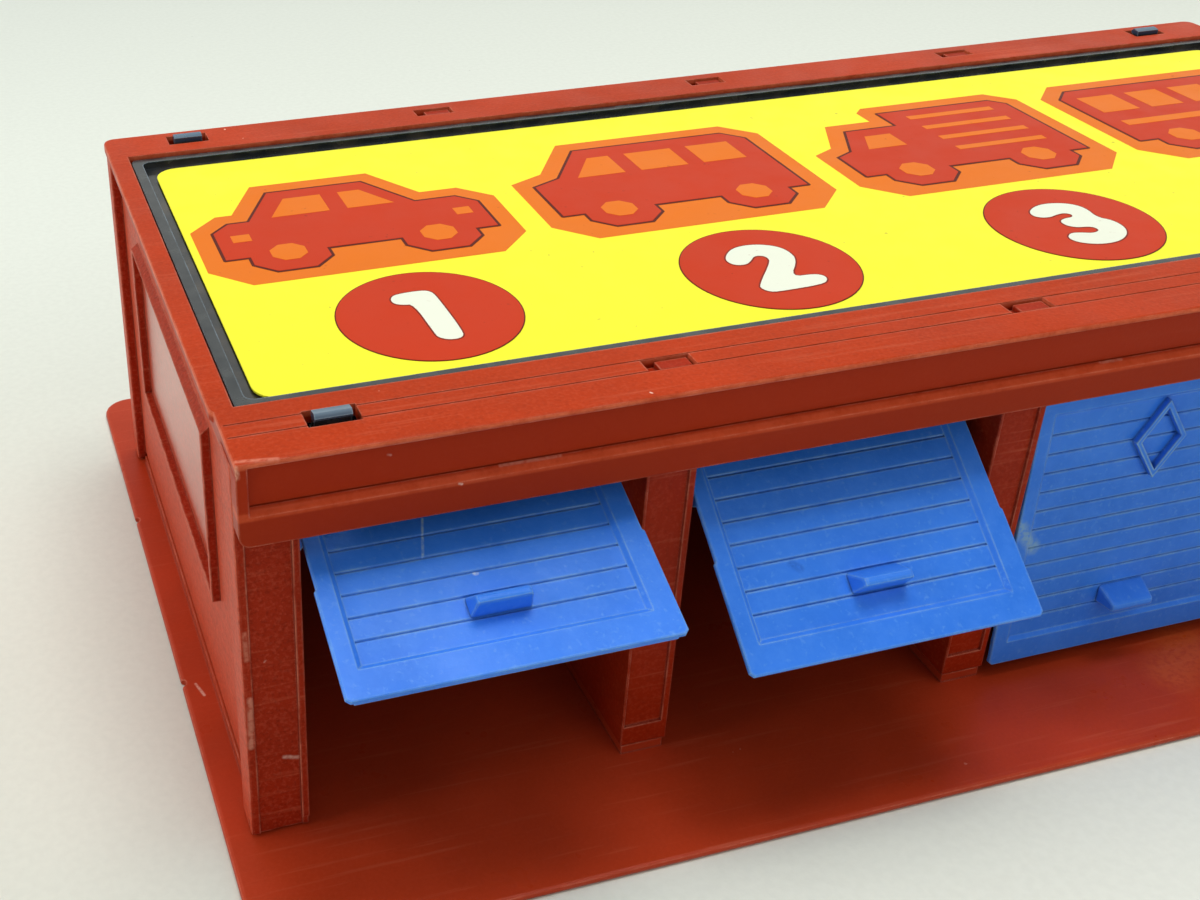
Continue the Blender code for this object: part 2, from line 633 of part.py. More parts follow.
def handle(front):
    """The pull: a wedge with a flat underside, a thin lip and ends that draw in."""
    middle = (DOOR_GAP_LEFT - DOOR_GAP_RIGHT) / 2
    low = -PIVOT_UP + HANDLE_LOW
    back, out = front + PLANK_SINK + GROOVE_D * 1.5, front - HANDLE_OUT
    points = [(back, low), (out, low), (out, low + HANDLE_LIP), (back, low + HANDLE_H)]
    wedge = outline_solid("Handle", points, middle - HANDLE_W / 2, middle + HANDLE_W / 2, "X")
    for vertex in wedge.data.vertices:
        if vertex.co.y < front:
            vertex.co.x -= math.copysign(HANDLE_TAPER, vertex.co.x - middle)
    rounding = wedge.modifiers.new("Rounded edges", "BEVEL")
    rounding.width = 0.0004
    rounding.segments = 2
    return wedge


def door(number, bay_x, angle):
    """A tip-up door about its pivot line: a thin leaf with planks, a handle, a diamond and two arms."""
    x0 = -BAY_OPEN / 2 + DOOR_GAP_LEFT
    x1 = BAY_OPEN / 2 - DOOR_GAP_RIGHT
    front = -PIVOT_BACK
    bottom = -PIVOT_UP
    top = bottom + DOOR_H
    c, e, jog = DOOR_CHAMFER, DOOR_EDGE_R, DOOR_JOG
    step = bottom + DOOR_JOG_UP
    points = [(x0 + c, bottom + e), (x1 - c, bottom + e), (x1 - e, bottom + c), (x1 - e, step)]
    points += [(x1 - e - jog, step + jog), (x1 - e - jog, top - e), (x0 + e + jog, top - e)]
    points += [(x0 + e + jog, step + jog), (x0 + e, step), (x0 + e, bottom + c)]
    leaf = outline_solid("door", points, front, front + DOOR_PLATE_T, "Y", e)
    back_low = (x0 + DOOR_BACK_INSET, front + DOOR_PLATE_T / 2, bottom + e)
    back_high = (x1 - DOOR_BACK_INSET, front + DOOR_T, top - DOOR_BACK_INSET)
    pieces = [leaf, join(leaf, box("Back layer", back_low, back_high, e / 2))]
    pieces += plank_field(leaf, x0 + STILE_LEFT, x1 - STILE_RIGHT, front, bottom)
    arm_x0, arm_x1 = x0 + jog, x1 - jog
    pieces.append(join(leaf, hinge_arm(arm_x0, arm_x0 + ARM_T, front)))
    pieces.append(join(leaf, hinge_arm(arm_x1 - ARM_T, arm_x1, front)))
    pip_left = x0 - DOOR_GAP_LEFT - PIP_REACH
    pip_right = x1 + DOOR_GAP_RIGHT + PIP_REACH
    pieces.append(join(leaf, rod("Left pip", pip_left, arm_x0 + ARM_T / 2, 0.0, 0.0, PIP_R)))
    pieces.append(join(leaf, rod("Right pip", arm_x1 - ARM_T / 2, pip_right, 0.0, 0.0, PIP_R)))
    ridge = diamond(front)
    pieces += [join(leaf, ridge), ridge.modifiers[0].object, join(leaf, handle(front))]
    pivot = bpy.data.objects.new(f"door_{number}_pivot", None)
    GARAGE.objects.link(pivot)
    pivot.empty_display_size = 0.01
    pivot.location = (bay_x, PIVOT_Y, PIVOT_Z)
    pivot.rotation_euler = (math.radians(-angle), 0.0, 0.0)
    for piece in pieces:
        piece.parent = pivot
    return finish(leaf, f"door_{number}", BLUE)


clear_scene()
GARAGE = new_collection("toy_parking_garage")
HELPERS = new_collection("helpers")
RED = plastic("red_plastic", COLOURS["red"], 0.42)
SMOKED = plastic("smoked_plastic", COLOURS["smoked"], 0.25)
YELLOW = plastic("label_print", COLOURS["yellow"], 0.35)
BLUE = plastic("blue_plastic", COLOURS["blue"], 0.40)

base_tray()
end_wall(-1, "left_end_wall")
end_wall(1, "right_end_wall")
back_wall()
for index, centre_x in enumerate(divider_centres()):
    divider_wall(index + 1, centre_x)
roof_frame()
roof_panel()
roof_label()
for index, centre_x in enumerate(bay_centres()):
    door(index + 1, centre_x, DOOR_ANGLES[index])
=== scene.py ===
import math

import bpy
from mathutils import Matrix, Vector


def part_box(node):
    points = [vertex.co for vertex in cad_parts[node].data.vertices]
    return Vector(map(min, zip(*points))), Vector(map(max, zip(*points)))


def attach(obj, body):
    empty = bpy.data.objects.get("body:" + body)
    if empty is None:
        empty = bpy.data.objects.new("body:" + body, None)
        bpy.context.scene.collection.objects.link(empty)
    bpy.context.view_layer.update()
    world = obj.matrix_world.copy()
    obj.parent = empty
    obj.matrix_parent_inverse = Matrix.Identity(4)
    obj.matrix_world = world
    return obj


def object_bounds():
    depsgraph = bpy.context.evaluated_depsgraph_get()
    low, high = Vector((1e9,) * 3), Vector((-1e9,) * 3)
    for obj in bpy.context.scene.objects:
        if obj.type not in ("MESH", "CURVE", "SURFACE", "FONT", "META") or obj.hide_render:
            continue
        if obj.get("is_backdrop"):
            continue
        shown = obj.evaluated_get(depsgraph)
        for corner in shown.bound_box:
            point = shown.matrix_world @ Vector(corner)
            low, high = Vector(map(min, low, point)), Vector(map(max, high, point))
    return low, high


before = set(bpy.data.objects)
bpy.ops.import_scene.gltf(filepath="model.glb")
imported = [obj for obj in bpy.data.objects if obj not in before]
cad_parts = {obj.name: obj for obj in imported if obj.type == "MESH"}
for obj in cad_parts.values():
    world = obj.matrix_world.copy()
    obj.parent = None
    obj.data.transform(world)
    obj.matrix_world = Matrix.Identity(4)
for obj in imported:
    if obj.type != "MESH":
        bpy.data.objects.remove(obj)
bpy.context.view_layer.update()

# The camera stands in front of the left end and looks down on the roof, as the photographer did.
# The photograph is cut from a wider one, so the lens is shifted to the right and a little down.
CAMERA_PLACE = (-0.12358, -0.17985, 0.14497)
CAMERA_TURN, CAMERA_DIP, CAMERA_ROLL = -16.247, 30.2, -0.4  # degrees
camera_data = bpy.data.cameras.new("camera")
camera_data.sensor_width = 36.0
camera_data.lens = 46.283
camera_data.shift_x = 0.1904
camera_data.shift_y = -0.0599
camera_data.clip_start = 0.01
camera = bpy.data.objects.new("camera", camera_data)
bpy.context.scene.collection.objects.link(camera)
turn = Matrix.Rotation(math.radians(CAMERA_TURN), 4, "Z")
tilt = Matrix.Rotation(math.radians(90.0 - CAMERA_DIP), 4, "X")
roll = Matrix.Rotation(math.radians(CAMERA_ROLL), 4, "Z")
camera.matrix_world = Matrix.Translation(CAMERA_PLACE) @ turn @ tilt @ roll
bpy.context.scene.camera = camera
bpy.context.scene.view_settings.view_transform = "Standard"

# The floor is a sheet of pale paper with a faint tooth. A large plane carries it past the view
# all round, and it keeps the garage's soft shadow. Far off it fades to one even pale tone.
# Its tone also carries painted light and shade: darker towards the garage's left end, paler to
# its right and behind it, and dimmer farther back.
FLOOR_SIZE = 5.0
FLOOR_DROP = 0.00003
PAPER_CLOUDS = (0.645, 0.672, 0.598), (0.690, 0.722, 0.648)
PAPER_PAST_PAINTED_SHADE = (0.800, 0.820, 0.745)
PAPER_PAINTED_LIGHT_BEHIND = (0.780, 0.825, 0.755)
PAPER_PAINTED_DIMMING_FAR = (0.575, 0.620, 0.585)
TOOTH_GREY = (0.30, 0.31, 0.28)
DUST_GREY = (0.25, 0.25, 0.24)
FAR_GLOW = (0.675, 0.715, 0.665, 1.0)


def new_material(name):
    """A material with no nodes yet, and its tree."""
    material = bpy.data.materials.new(name)
    material.use_nodes = True
    material.node_tree.nodes.clear()
    return material, material.node_tree


def add_node(tree, kind, settings=None, **feeds):
    """One node. A feed names a socket, or s0, s1 ... by number, and gives a value or an output."""
    node = tree.nodes.new(kind)
    for key, value in (settings or {}).items():
        setattr(node, key, value)
    for key, value in feeds.items():
        numbered = key[0] == "s" and key[1:].isdigit()
        socket = node.inputs[int(key[1:]) if numbered else key.replace("_", " ")]
        if isinstance(value, bpy.types.NodeSocket):
            tree.links.new(value, socket)
        else:
            socket.default_value = value
    return node


def place_of(tree):
    """Object coordinates: every piece lies in the garage's own frame, in metres."""
    return add_node(tree, "ShaderNodeTexCoord").outputs["Object"]


def part_of(tree, vector):
    """The three numbers of a vector, by their letters."""
    return add_node(tree, "ShaderNodeSeparateXYZ", Vector=vector).outputs


def noise(tree, scale, detail=3.0, rough=0.5, stretch=(1.0, 1.0, 1.0), shift=(0.0, 0.0, 0.0)):
    """A soft grain, its scale in waves a metre. A small stretch number draws it out along that axis."""
    where = add_node(tree, "ShaderNodeMapping", Vector=place_of(tree), Scale=stretch, Location=shift)
    feeds = dict(Vector=where.outputs[0], Scale=scale, Detail=detail, Roughness=rough)
    return add_node(tree, "ShaderNodeTexNoise", **feeds).outputs["Fac"]


def ramp(tree, value, low, high, start=0.0, end=1.0):
    """The value stretched from low-high to start-end, and held there."""
    node = add_node(tree, "ShaderNodeMapRange", {"clamp": True}, Value=value)
    for socket, number in zip(("From Min", "From Max", "To Min", "To Max"), (low, high, start, end)):
        node.inputs[socket].default_value = number
    return node.outputs["Result"]


def blend_colours(tree, share, first, second, way="MIX"):
    """The second colour laid over the first by its share."""
    node = add_node(tree, "ShaderNodeMix", {"data_type": "RGBA", "blend_type": way})
    for index, value in ((0, share), (6, first), (7, second)):
        if isinstance(value, bpy.types.NodeSocket):
            tree.links.new(value, node.inputs[index])
        else:
            node.inputs[index].default_value = value if index == 0 else (*value, 1.0)
    return node.outputs[2]


def reckon(tree, way, first, second):
    """One sum on two values, held between 0 and 1."""
    settings = {"operation": way, "use_clamp": True}
    return add_node(tree, "ShaderNodeMath", settings, s0=first, s1=second).outputs[0]


def overlap(tree, first, *others):
    """Masks multiplied together."""
    for other in others:
        first = reckon(tree, "MULTIPLY", first, other)
    return first


def vector_sum(tree, way, first, second=(0.0, 0.0, 0.0), gives="Value"):
    """One sum on two vectors."""
    return add_node(tree, "ShaderNodeVectorMath", {"operation": way}, s0=first, s1=second).outputs[gives]


def seen_rays(tree):
    """1 on the rays that show a thing: the camera's, and those mirrored or passed on by a surface."""
    path = add_node(tree, "ShaderNodeLightPath").outputs
    seen = reckon(tree, "ADD", path["Is Camera Ray"], path["Is Transmission Ray"])
    return reckon(tree, "ADD", seen, path["Is Glossy Ray"])


bpy.ops.object.select_all(action="DESELECT")
bpy.ops.mesh.primitive_plane_add(size=FLOOR_SIZE, location=(0.0, 0.0, -FLOOR_DROP))
floor = bpy.context.active_object
floor.name = "floor"
paper, tree = new_material("pale paper")
paper_colour = blend_colours(tree, ramp(tree, noise(tree, 9.0, 4.0), 0.3, 0.7), *PAPER_CLOUDS)
across, depth = part_of(tree, place_of(tree))[:2]
# Painted shade and light: the paper stays darker towards the left end, turns paler to the right and behind
# the garage, and dimmer farther back.
paper_colour = blend_colours(tree, ramp(tree, across, -0.15, -0.05, 0.0, 0.8), paper_colour, PAPER_PAST_PAINTED_SHADE)
paper_colour = blend_colours(tree, ramp(tree, depth, 0.00, 0.14), paper_colour, PAPER_PAINTED_LIGHT_BEHIND)
paper_colour = blend_colours(tree, ramp(tree, depth, 0.18, 0.60), paper_colour, PAPER_PAINTED_DIMMING_FAR)
tooth = ramp(tree, noise(tree, 800.0), 0.35, 0.65, 0.0, 0.06)
paper_colour = blend_colours(tree, tooth, paper_colour, TOOTH_GREY)
dust = ramp(tree, noise(tree, 300.0, 1.0), 0.815, 0.835, 0.0, 0.30)
paper_colour = blend_colours(tree, dust, paper_colour, DUST_GREY)
fibre = add_node(tree, "ShaderNodeBump", Strength=0.15, Distance=0.0002, Height=noise(tree, 900.0))
feeds = dict(Base_Color=paper_colour, Roughness=0.85, Normal=fibre.outputs["Normal"])
lit = add_node(tree, "ShaderNodeBsdfPrincipled", **feeds).outputs["BSDF"]
glow = add_node(tree, "ShaderNodeEmission", Color=FAR_GLOW, Strength=1.0).outputs["Emission"]
far_off = ramp(tree, vector_sum(tree, "LENGTH", place_of(tree)), 0.42, 1.10)
fading = overlap(tree, far_off, seen_rays(tree))
sheet = add_node(tree, "ShaderNodeMixShader", s0=fading, s1=lit, s2=glow).outputs["Shader"]
add_node(tree, "ShaderNodeOutputMaterial", Surface=sheet)
floor.data.materials.append(paper)
floor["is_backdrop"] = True

# The light is a large soft lamp above and a little behind the garage, a smaller ceiling lamp over
# its right half, a window's softer light from its left end and a weak fill in front, in an even
# pale room. Each lamp gives its place, its size, its power and its tint, and looks at the garage.
LAMPS = (
    ("overhead lamp", (0.02, 0.24, 1.20), 0.85, 6.1, (1.0, 0.985, 0.95)),
    ("ceiling lamp", (0.12, -0.03, 1.30), 0.46, 4.3, (1.0, 0.98, 0.94)),
    ("front fill", (0.20, -0.95, 0.95), 1.00, 2.2, (0.98, 0.99, 1.0)),
    ("window", (-1.10, 0.10, 0.60), 0.70, 5.4, (0.96, 0.98, 1.0)),
)
LAMP_AIM = (0.0, 0.0, 0.03)
ROOM_TINT = (0.97, 0.99, 0.95, 1.0)
ROOM_LIGHT, ROOM_SEEN = 0.30, 0.80
for lamp_name, where, size, power, tint in LAMPS:
    lamp_data = bpy.data.lights.new(lamp_name, "AREA")
    lamp_data.shape = "SQUARE"
    lamp_data.size = size
    lamp_data.energy = power
    lamp_data.color = tint
    lamp = bpy.data.objects.new(lamp_name, lamp_data)
    bpy.context.scene.collection.objects.link(lamp)
    lamp.location = where
    lamp.rotation_euler = (Vector(LAMP_AIM) - Vector(where)).to_track_quat("-Z", "Y").to_euler()
room = bpy.data.worlds.new("pale room")
bpy.context.scene.world = room
room.use_nodes = True
tree = room.node_tree
tree.nodes.clear()
strength = ramp(tree, seen_rays(tree), 0.0, 1.0, ROOM_LIGHT, ROOM_SEEN)
air = add_node(tree, "ShaderNodeBackground", Color=ROOM_TINT, Strength=strength)
add_node(tree, "ShaderNodeOutputWorld", Surface=air.outputs["Background"])

# The base is a flat red plate with rounded corners and low kerbs that take the walls' feet.
# It is moulded in one piece, and its apron is scuffed by toy cars and fingers. A wide paler
# streak on the apron is painted light.
FLECK_RED = (0.26, 0.050, 0.030)
PIT_SHADE = (0.52, 0.50, 0.48)
SCUFF_RED = (0.62, 0.14, 0.07)
PAINTED_CORNER_SHADE = (0.085, 0.010, 0.006)
WORN_AND_HIGHLIT_RED = (0.80, 0.27, 0.17)
NICK_PALE = (0.84, 0.50, 0.40)
EDGE_SCUFF_AND_HIGHLIGHT_REACH = 0.00036
ROUNDING = 0.00042
BAND_FADES = 0.0002, 0.0001
FIELD_FADES = 0.0001, 0.0001
FIELD_ROUGH = 0.30
COAT_ROUGH, COAT_IOR = 0.30, 1.5


def within(tree, value, low, high, low_fade, high_fade):
    """Two masks with soft ends, one for what lies above low and one for what lies below high."""
    above = ramp(tree, value, low - low_fade, low + low_fade)
    return above, ramp(tree, value, high + high_fade, high - high_fade)


def edges(tree, radius, reach=0.0004):
    """Two masks: how near a point is to an outward edge, and how deep it sits in an inward corner."""
    rounded = add_node(tree, "ShaderNodeBevel", {"samples": 6}, Radius=radius).outputs["Normal"]
    flat = add_node(tree, "ShaderNodeNewGeometry").outputs["True Normal"]
    facing = vector_sum(tree, "DOT_PRODUCT", rounded, flat)
    settings = {"samples": 6, "only_local": True}
    open_sky = add_node(tree, "ShaderNodeAmbientOcclusion", settings, Distance=reach).outputs["AO"]
    outer_edge_mask = overlap(tree, ramp(tree, facing, 0.992, 0.86), ramp(tree, open_sky, 0.62, 0.86))
    return outer_edge_mask, ramp(tree, open_sky, 0.82, 0.40)


def scratch(tree, start, end, width):
    """A mask for one thin scratch between two points of the piece, broken up along its length."""
    start, end = Vector(start), Vector(end)
    length = (end - start).length
    along = tuple((end - start).normalized())
    offset = vector_sum(tree, "SUBTRACT", place_of(tree), tuple(start), "Vector")
    held = ramp(tree, vector_sum(tree, "DOT_PRODUCT", offset, along), 0.0, length, 0.0, length)
    foot = add_node(tree, "ShaderNodeVectorMath", {"operation": "SCALE"}, s0=along, Scale=held).outputs[0]
    line = ramp(tree, vector_sum(tree, "DISTANCE", offset, foot), width, 0.3 * width)
    return overlap(tree, line, ramp(tree, noise(tree, 1500.0), 0.35, 0.55, 0.3, 1.0))


def add_marks(tree, skin, marks):
    """The colour with scratches over it: each has two ends, a width, a tone and a strength."""
    for start, end, width, tone, share in marks:
        skin = blend_colours(tree, overlap(tree, scratch(tree, start, end, width), share), skin, tone)
    return skin


def surface(tree, colour, rough, specular=None, normal=None):
    """The shader that ends a material."""
    shader = add_node(tree, "ShaderNodeBsdfPrincipled", Base_Color=colour, Roughness=rough)
    if specular is not None:
        shader.inputs["Specular IOR Level"].default_value = specular
    if normal is not None:
        tree.links.new(normal, shader.inputs["Normal"])
    add_node(tree, "ShaderNodeOutputMaterial", Surface=shader.outputs["BSDF"])
    return shader


def scaled(colour, factor):
    return tuple(factor * c for c in colour)


def red_plastic(name, colour, rough, grain_scale, grain_height, wear_and_highlight=0.75, corner_shade=0.6, gloss=0.08,
                speckle=0.22, painted_sheen_side=None, smooth=None, painted_bands=(), marks=()):
    """Brick-red moulded polystyrene: clouds, fine grain, pale edges, dark corners, white nicks.

    The pale edges are scuffs and painted highlight together, and the dark inward corners are painted
    shade. speckle is how strongly the grain shows, painted_sheen_side the colour painted on faces
    turned left or right for the sheen they show, and smooth a field of such faces that the tool left
    smoother, with its own sheen. painted_bands are heights painted in another tone, darker for painted
    shade and lighter for painted highlight, and marks the scratches, each with its tone and strength.
    """
    material, tree = new_material(name)
    skin = blend_colours(tree, ramp(tree, noise(tree, 60.0, 4.0), 0.35, 0.68), scaled(colour, 0.84), colour)
    # Faces turned left or right get a paler, pinker colour with drawn grain: painted sheen for the grazing
    # reflection they show.
    if painted_sheen_side:
        facing = part_of(tree, add_node(tree, "ShaderNodeNewGeometry").outputs["Normal"])["X"]
        either_way = add_node(tree, "ShaderNodeMath", {"operation": "ABSOLUTE"}, s0=facing).outputs[0]
        faces_out = ramp(tree, either_way, 0.4, 0.8)
        drawn = ramp(tree, noise(tree, 2000.0, 3.0, 0.6, stretch=(1.0, 0.40, 1.0)), 0.36, 0.64)
        painted_sheen_flank = blend_colours(tree, drawn, scaled(painted_sheen_side, 0.84), scaled(painted_sheen_side, 1.12))
        skin = blend_colours(tree, faces_out, skin, painted_sheen_flank)
    flecks = ramp(tree, noise(tree, 2100.0, 3.0, 0.6), 0.50, 0.62, 0.0, speckle)
    skin = blend_colours(tree, flecks, skin, FLECK_RED, "SCREEN")
    pits = ramp(tree, noise(tree, 1700.0, 3.0, 0.6, shift=(0.3, 0.1, 0.2)), 0.48, 0.36, 0.0, speckle)
    skin = blend_colours(tree, pits, skin, PIT_SHADE, "MULTIPLY")
    scuffs = ramp(tree, noise(tree, 1000.0, 3.0, 0.6, stretch=(0.04, 1.0, 1.0)), 0.58, 0.74, 0.0, 0.30)
    skin = blend_colours(tree, scuffs, skin, SCUFF_RED)
    # Heights painted in another tone: painted shade where darker, painted highlight where lighter.
    for low, high, tone, least, most in painted_bands:
        uneven = ramp(tree, noise(tree, 420.0, 5.0, 0.7), 0.35, 0.65, least, most)
        level = part_of(tree, place_of(tree))["Z"]
        painted_band = overlap(tree, *within(tree, level, low, high, *BAND_FADES), uneven)
        skin = blend_colours(tree, painted_band, skin, tone)
    outer_edge_mask, corner_shade_mask = edges(tree, EDGE_SCUFF_AND_HIGHLIGHT_REACH)
    # Inward corners are darkened: painted shade.
    skin = blend_colours(tree, overlap(tree, corner_shade_mask, corner_shade), skin, PAINTED_CORNER_SHADE)
    patchy = ramp(tree, noise(tree, 260.0, 5.0, 0.7), 0.42, 0.60, 0.22, 1.0)
    # Outward edges turn pale, in patches: scuffing and painted highlight together.
    skin = blend_colours(tree, overlap(tree, outer_edge_mask, patchy, wear_and_highlight), skin, WORN_AND_HIGHLIT_RED)
    nicks = ramp(tree, noise(tree, 620.0, 1.0), 0.785, 0.80)
    nicks = overlap(tree, nicks, ramp(tree, noise(tree, 70.0), 0.56, 0.62))
    skin = blend_colours(tree, nicks, skin, NICK_PALE)
    skin = add_marks(tree, skin, marks)
    rounded = add_node(tree, "ShaderNodeBevel", {"samples": 6}, Radius=ROUNDING).outputs["Normal"]
    height = noise(tree, grain_scale, 4.0, 0.6)
    grain = add_node(
        tree, "ShaderNodeBump", Strength=1.0, Distance=grain_height, Height=height, Normal=rounded
    )
    if smooth:
        here = part_of(tree, place_of(tree))
        inside = 1.0
        for axis, (low, high) in smooth.items():
            inside = overlap(tree, inside, *within(tree, here[axis], low, high, *FIELD_FADES))
        dull = ramp(tree, inside, 0.0, 1.0, rough, FIELD_ROUGH)
        tree.links.new(ramp(tree, inside, 0.0, 1.0, 1.0, 0.3), grain.inputs["Strength"])
    else:
        dull = ramp(tree, noise(tree, 140.0), 0.3, 0.7, rough - 0.07, rough + 0.07)
    shader = surface(tree, skin, dull, gloss, grain.outputs["Normal"])
    if smooth:
        polish = overlap(tree, faces_out, ramp(tree, inside, 0.0, 1.0, 0.30, 1.0))
        tree.links.new(polish, shader.inputs["Coat Weight"])
        tree.links.new(grain.outputs["Normal"], shader.inputs["Coat Normal"])
        shader.inputs["Coat Roughness"].default_value = COAT_ROUGH
        shader.inputs["Coat IOR"].default_value = COAT_IOR
    return material


def dress(node, material):
    """Gives a CAD solid that stays its better material."""
    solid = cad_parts[node]
    solid.data.materials.clear()
    solid.data.materials.append(material)


base_scratch_and_light_streak = (
    ((-0.1015, -0.0160, 0.001), (-0.1008, -0.0186, 0.001), 0.00028, (0.80, 0.45, 0.35), 0.8),
    # A wide paler streak on the apron: painted light.
    ((0.0290, -0.0530, 0.001), (0.0360, -0.0480, 0.001), 0.0050, (0.72, 0.14, 0.03), 0.4),
)
base_red = red_plastic(
    "red plastic of the base", (0.50, 0.046, 0.012), rough=0.34, grain_scale=1500.0, grain_height=0.00002,
    gloss=0.15, speckle=0.08, marks=base_scratch_and_light_streak,
)
dress("base_tray", base_red)

# The end walls are flat mouldings with proud corner posts and a raised frame. The tool left
# their outer face matt and grained, and the flat inside the frame is smoother and shows more sheen.
# Their faces turned left or right are painted paler and pinker: painted sheen.
FRAMED_FIELD = {"Y": (-0.0247, 0.0267), "Z": (0.0234, 0.0472)}
wall_marks = (
    ((-0.0994, -0.04575, 0.0232), (-0.0996, -0.04575, 0.0158), 0.0005, (0.80, 0.36, 0.25), 0.5),
    ((-0.0996, -0.04575, 0.0330), (-0.0995, -0.04575, 0.0290), 0.0004, (0.78, 0.32, 0.21), 0.4),
    ((-0.0956, -0.04540, 0.0129), (-0.0940, -0.04546, 0.0124), 0.0004, (0.75, 0.42, 0.34), 0.7),
)
wall_red = red_plastic(
    "grained red plastic of the walls", (0.38, 0.024, 0.005), rough=0.66, grain_scale=1500.0,
    grain_height=0.00016, wear_and_highlight=1.0, speckle=0.38, painted_sheen_side=(0.53, 0.062, 0.024), smooth=FRAMED_FIELD,
    marks=wall_marks,
)
for wall in ("left_end_wall", "right_end_wall"):
    dress(wall, wall_red)

# The back wall and the three dividers are plain panels, and each divider has a hollow pillar
# in front whose tabs come up through the roof.
pillar_red = red_plastic(
    "red plastic of the pillars", (0.37, 0.022, 0.003), rough=0.40, grain_scale=1700.0, grain_height=0.00003
)
for wall in ("back_wall", "divider_wall_1", "divider_wall_2", "divider_wall_3"):
    dress(wall, pillar_red)

# The roof is one frame moulding with the fascia over the doors, clipped down on the walls. Heights
# of it are painted: the fascia and the face over the doors in darker painted shade, and the ledge
# between them and the top edge in lighter painted highlight, the ledge with its scuffs too.
roof_shade_and_highlight_bands = (
    (0.0467, 0.0503, (0.33, 0.022, 0.002), 0.85, 0.95),
    (0.0503, 0.0513, (0.60, 0.080, 0.025), 0.30, 0.80),
    (0.0514, 0.0568, (0.38, 0.024, 0.002), 0.85, 0.95),
    (0.0569, 0.0574, (0.76, 0.16, 0.07), 0.30, 0.95),
)
roof_marks = (
    ((-0.0833, -0.0477, 0.0551), (-0.0830, -0.0477, 0.0550), 0.00020, (0.80, 0.45, 0.36), 0.6),
    ((-0.0755, -0.04875, 0.0505), (-0.0752, -0.04875, 0.0504), 0.00020, (0.86, 0.58, 0.48), 0.8),
    ((-0.0705, -0.0479, 0.0514), (-0.0634, -0.0479, 0.0513), 0.00030, (0.74, 0.36, 0.27), 0.35),
    ((0.0075, -0.0479, 0.0514), (0.0105, -0.0479, 0.0513), 0.00030, (0.74, 0.36, 0.27), 0.35),
    ((-0.0998, -0.0480, 0.0575), (-0.0956, -0.0486, 0.0574), 0.00040, (0.80, 0.30, 0.20), 0.5),
    ((-0.1000, -0.0487, 0.0572), (-0.0999, -0.0487, 0.0560), 0.00040, (0.82, 0.40, 0.28), 0.7),
)
roof_red = red_plastic(
    "red plastic of the roof", (0.49, 0.041, 0.004), rough=0.38, grain_scale=2100.0, grain_height=0.00003,
    corner_shade=0.05, painted_bands=roof_shade_and_highlight_bands, marks=roof_marks,
)
dress("roof_frame", roof_red)

# The roof panel is clear smoked polystyrene, glossy, with a raised rim round a shallow tray
# and four clips that snap up through the frame's corner slots. Dust lies in the tray. The clips'
# tops and the rim's edges are painted paler: painted highlight.
TRAY_TINTS = (0.016, 0.020, 0.024), (0.075, 0.062, 0.048)
RIM_TINTS = (0.012, 0.018, 0.023), (0.046, 0.054, 0.056)
CLIP_TINT, CLIP_TOP_HIGHLIGHT = (0.030, 0.070, 0.125), (0.16, 0.27, 0.38)
SMOKE_EDGE_HIGHLIGHT = (0.19, 0.26, 0.32)
RIM_LEVEL, CLIP_LEVEL, CLIP_TOP_LEVEL = (0.0565, 0.05695), (0.0573, 0.0576), (0.0580, 0.05830)
smoked, tree = new_material("smoked plastic")
level = part_of(tree, place_of(tree))["Z"]
floor_tint = blend_colours(tree, ramp(tree, noise(tree, 160.0, 4.0), 0.42, 0.72), *TRAY_TINTS)
rim_tint = blend_colours(tree, ramp(tree, noise(tree, 300.0, 4.0), 0.35, 0.7), *RIM_TINTS)
tint = blend_colours(tree, ramp(tree, level, *RIM_LEVEL), floor_tint, rim_tint)
tint = blend_colours(tree, ramp(tree, level, *CLIP_LEVEL), tint, CLIP_TINT)
# The clips' upward faces are painted paler: painted highlight.
tint = blend_colours(tree, ramp(tree, level, *CLIP_TOP_LEVEL, 0.0, 0.7), tint, CLIP_TOP_HIGHLIGHT)
# Outward edges are painted a pale blue-grey: painted highlight.
outer_edge_mask = edges(tree, 0.0003)[0]
painted_edge_highlight = overlap(tree, outer_edge_mask, ramp(tree, noise(tree, 400.0, 4.0), 0.4, 0.6, 0.35, 1.0))
tint = blend_colours(tree, painted_edge_highlight, tint, SMOKE_EDGE_HIGHLIGHT)
shader = surface(tree, tint, ramp(tree, noise(tree, 300.0), 0.3, 0.7, 0.12, 0.32))
shader.inputs["Transmission Weight"].default_value = 0.15
shader.inputs["IOR"].default_value = 1.55
dress("roof_panel", smoked)

# The label is a printed sheet laid in the tray: bright yellow, with four numbered red discs in
# front and a row of orange-edged vehicles behind them. Each ink is a thin layer on the one below.
# The outlines are in millimetres, and the turn of the hubs is in radians.
VEHICLES_Y = 7.6
BORDER_REACH, KEYLINE_REACH, NUMERAL_EDGE_REACH = 3.0, 0.42, 0.22
HUB_R, HUB_Y, HUB_FACETS, HUB_TURN = 2.6, -6.3, 8, 0.3927
DISC_R, RING_R, DISC_FACETS = 11.55, 11.70, 72
YELLOW, YELLOW_SPECK = (0.97, 0.945, 0.040), (0.50, 0.42, 0.05)
ORANGE, ORANGE_SPECK = (0.80, 0.185, 0.011), (0.45, 0.08, 0.015)
KEYLINE_RED, KEYLINE_SPECK = (0.105, 0.010, 0.004), (0.05, 0.005, 0.002)
PRINT_RED, PRINT_RED_SPECK = (0.57, 0.040, 0.008), (0.25, 0.02, 0.01)
EDGE_RED, EDGE_RED_SPECK = (0.22, 0.018, 0.008), (0.10, 0.01, 0.005)
WHITE, WHITE_SPECK = (0.85, 0.89, 0.75), (0.55, 0.45, 0.35)


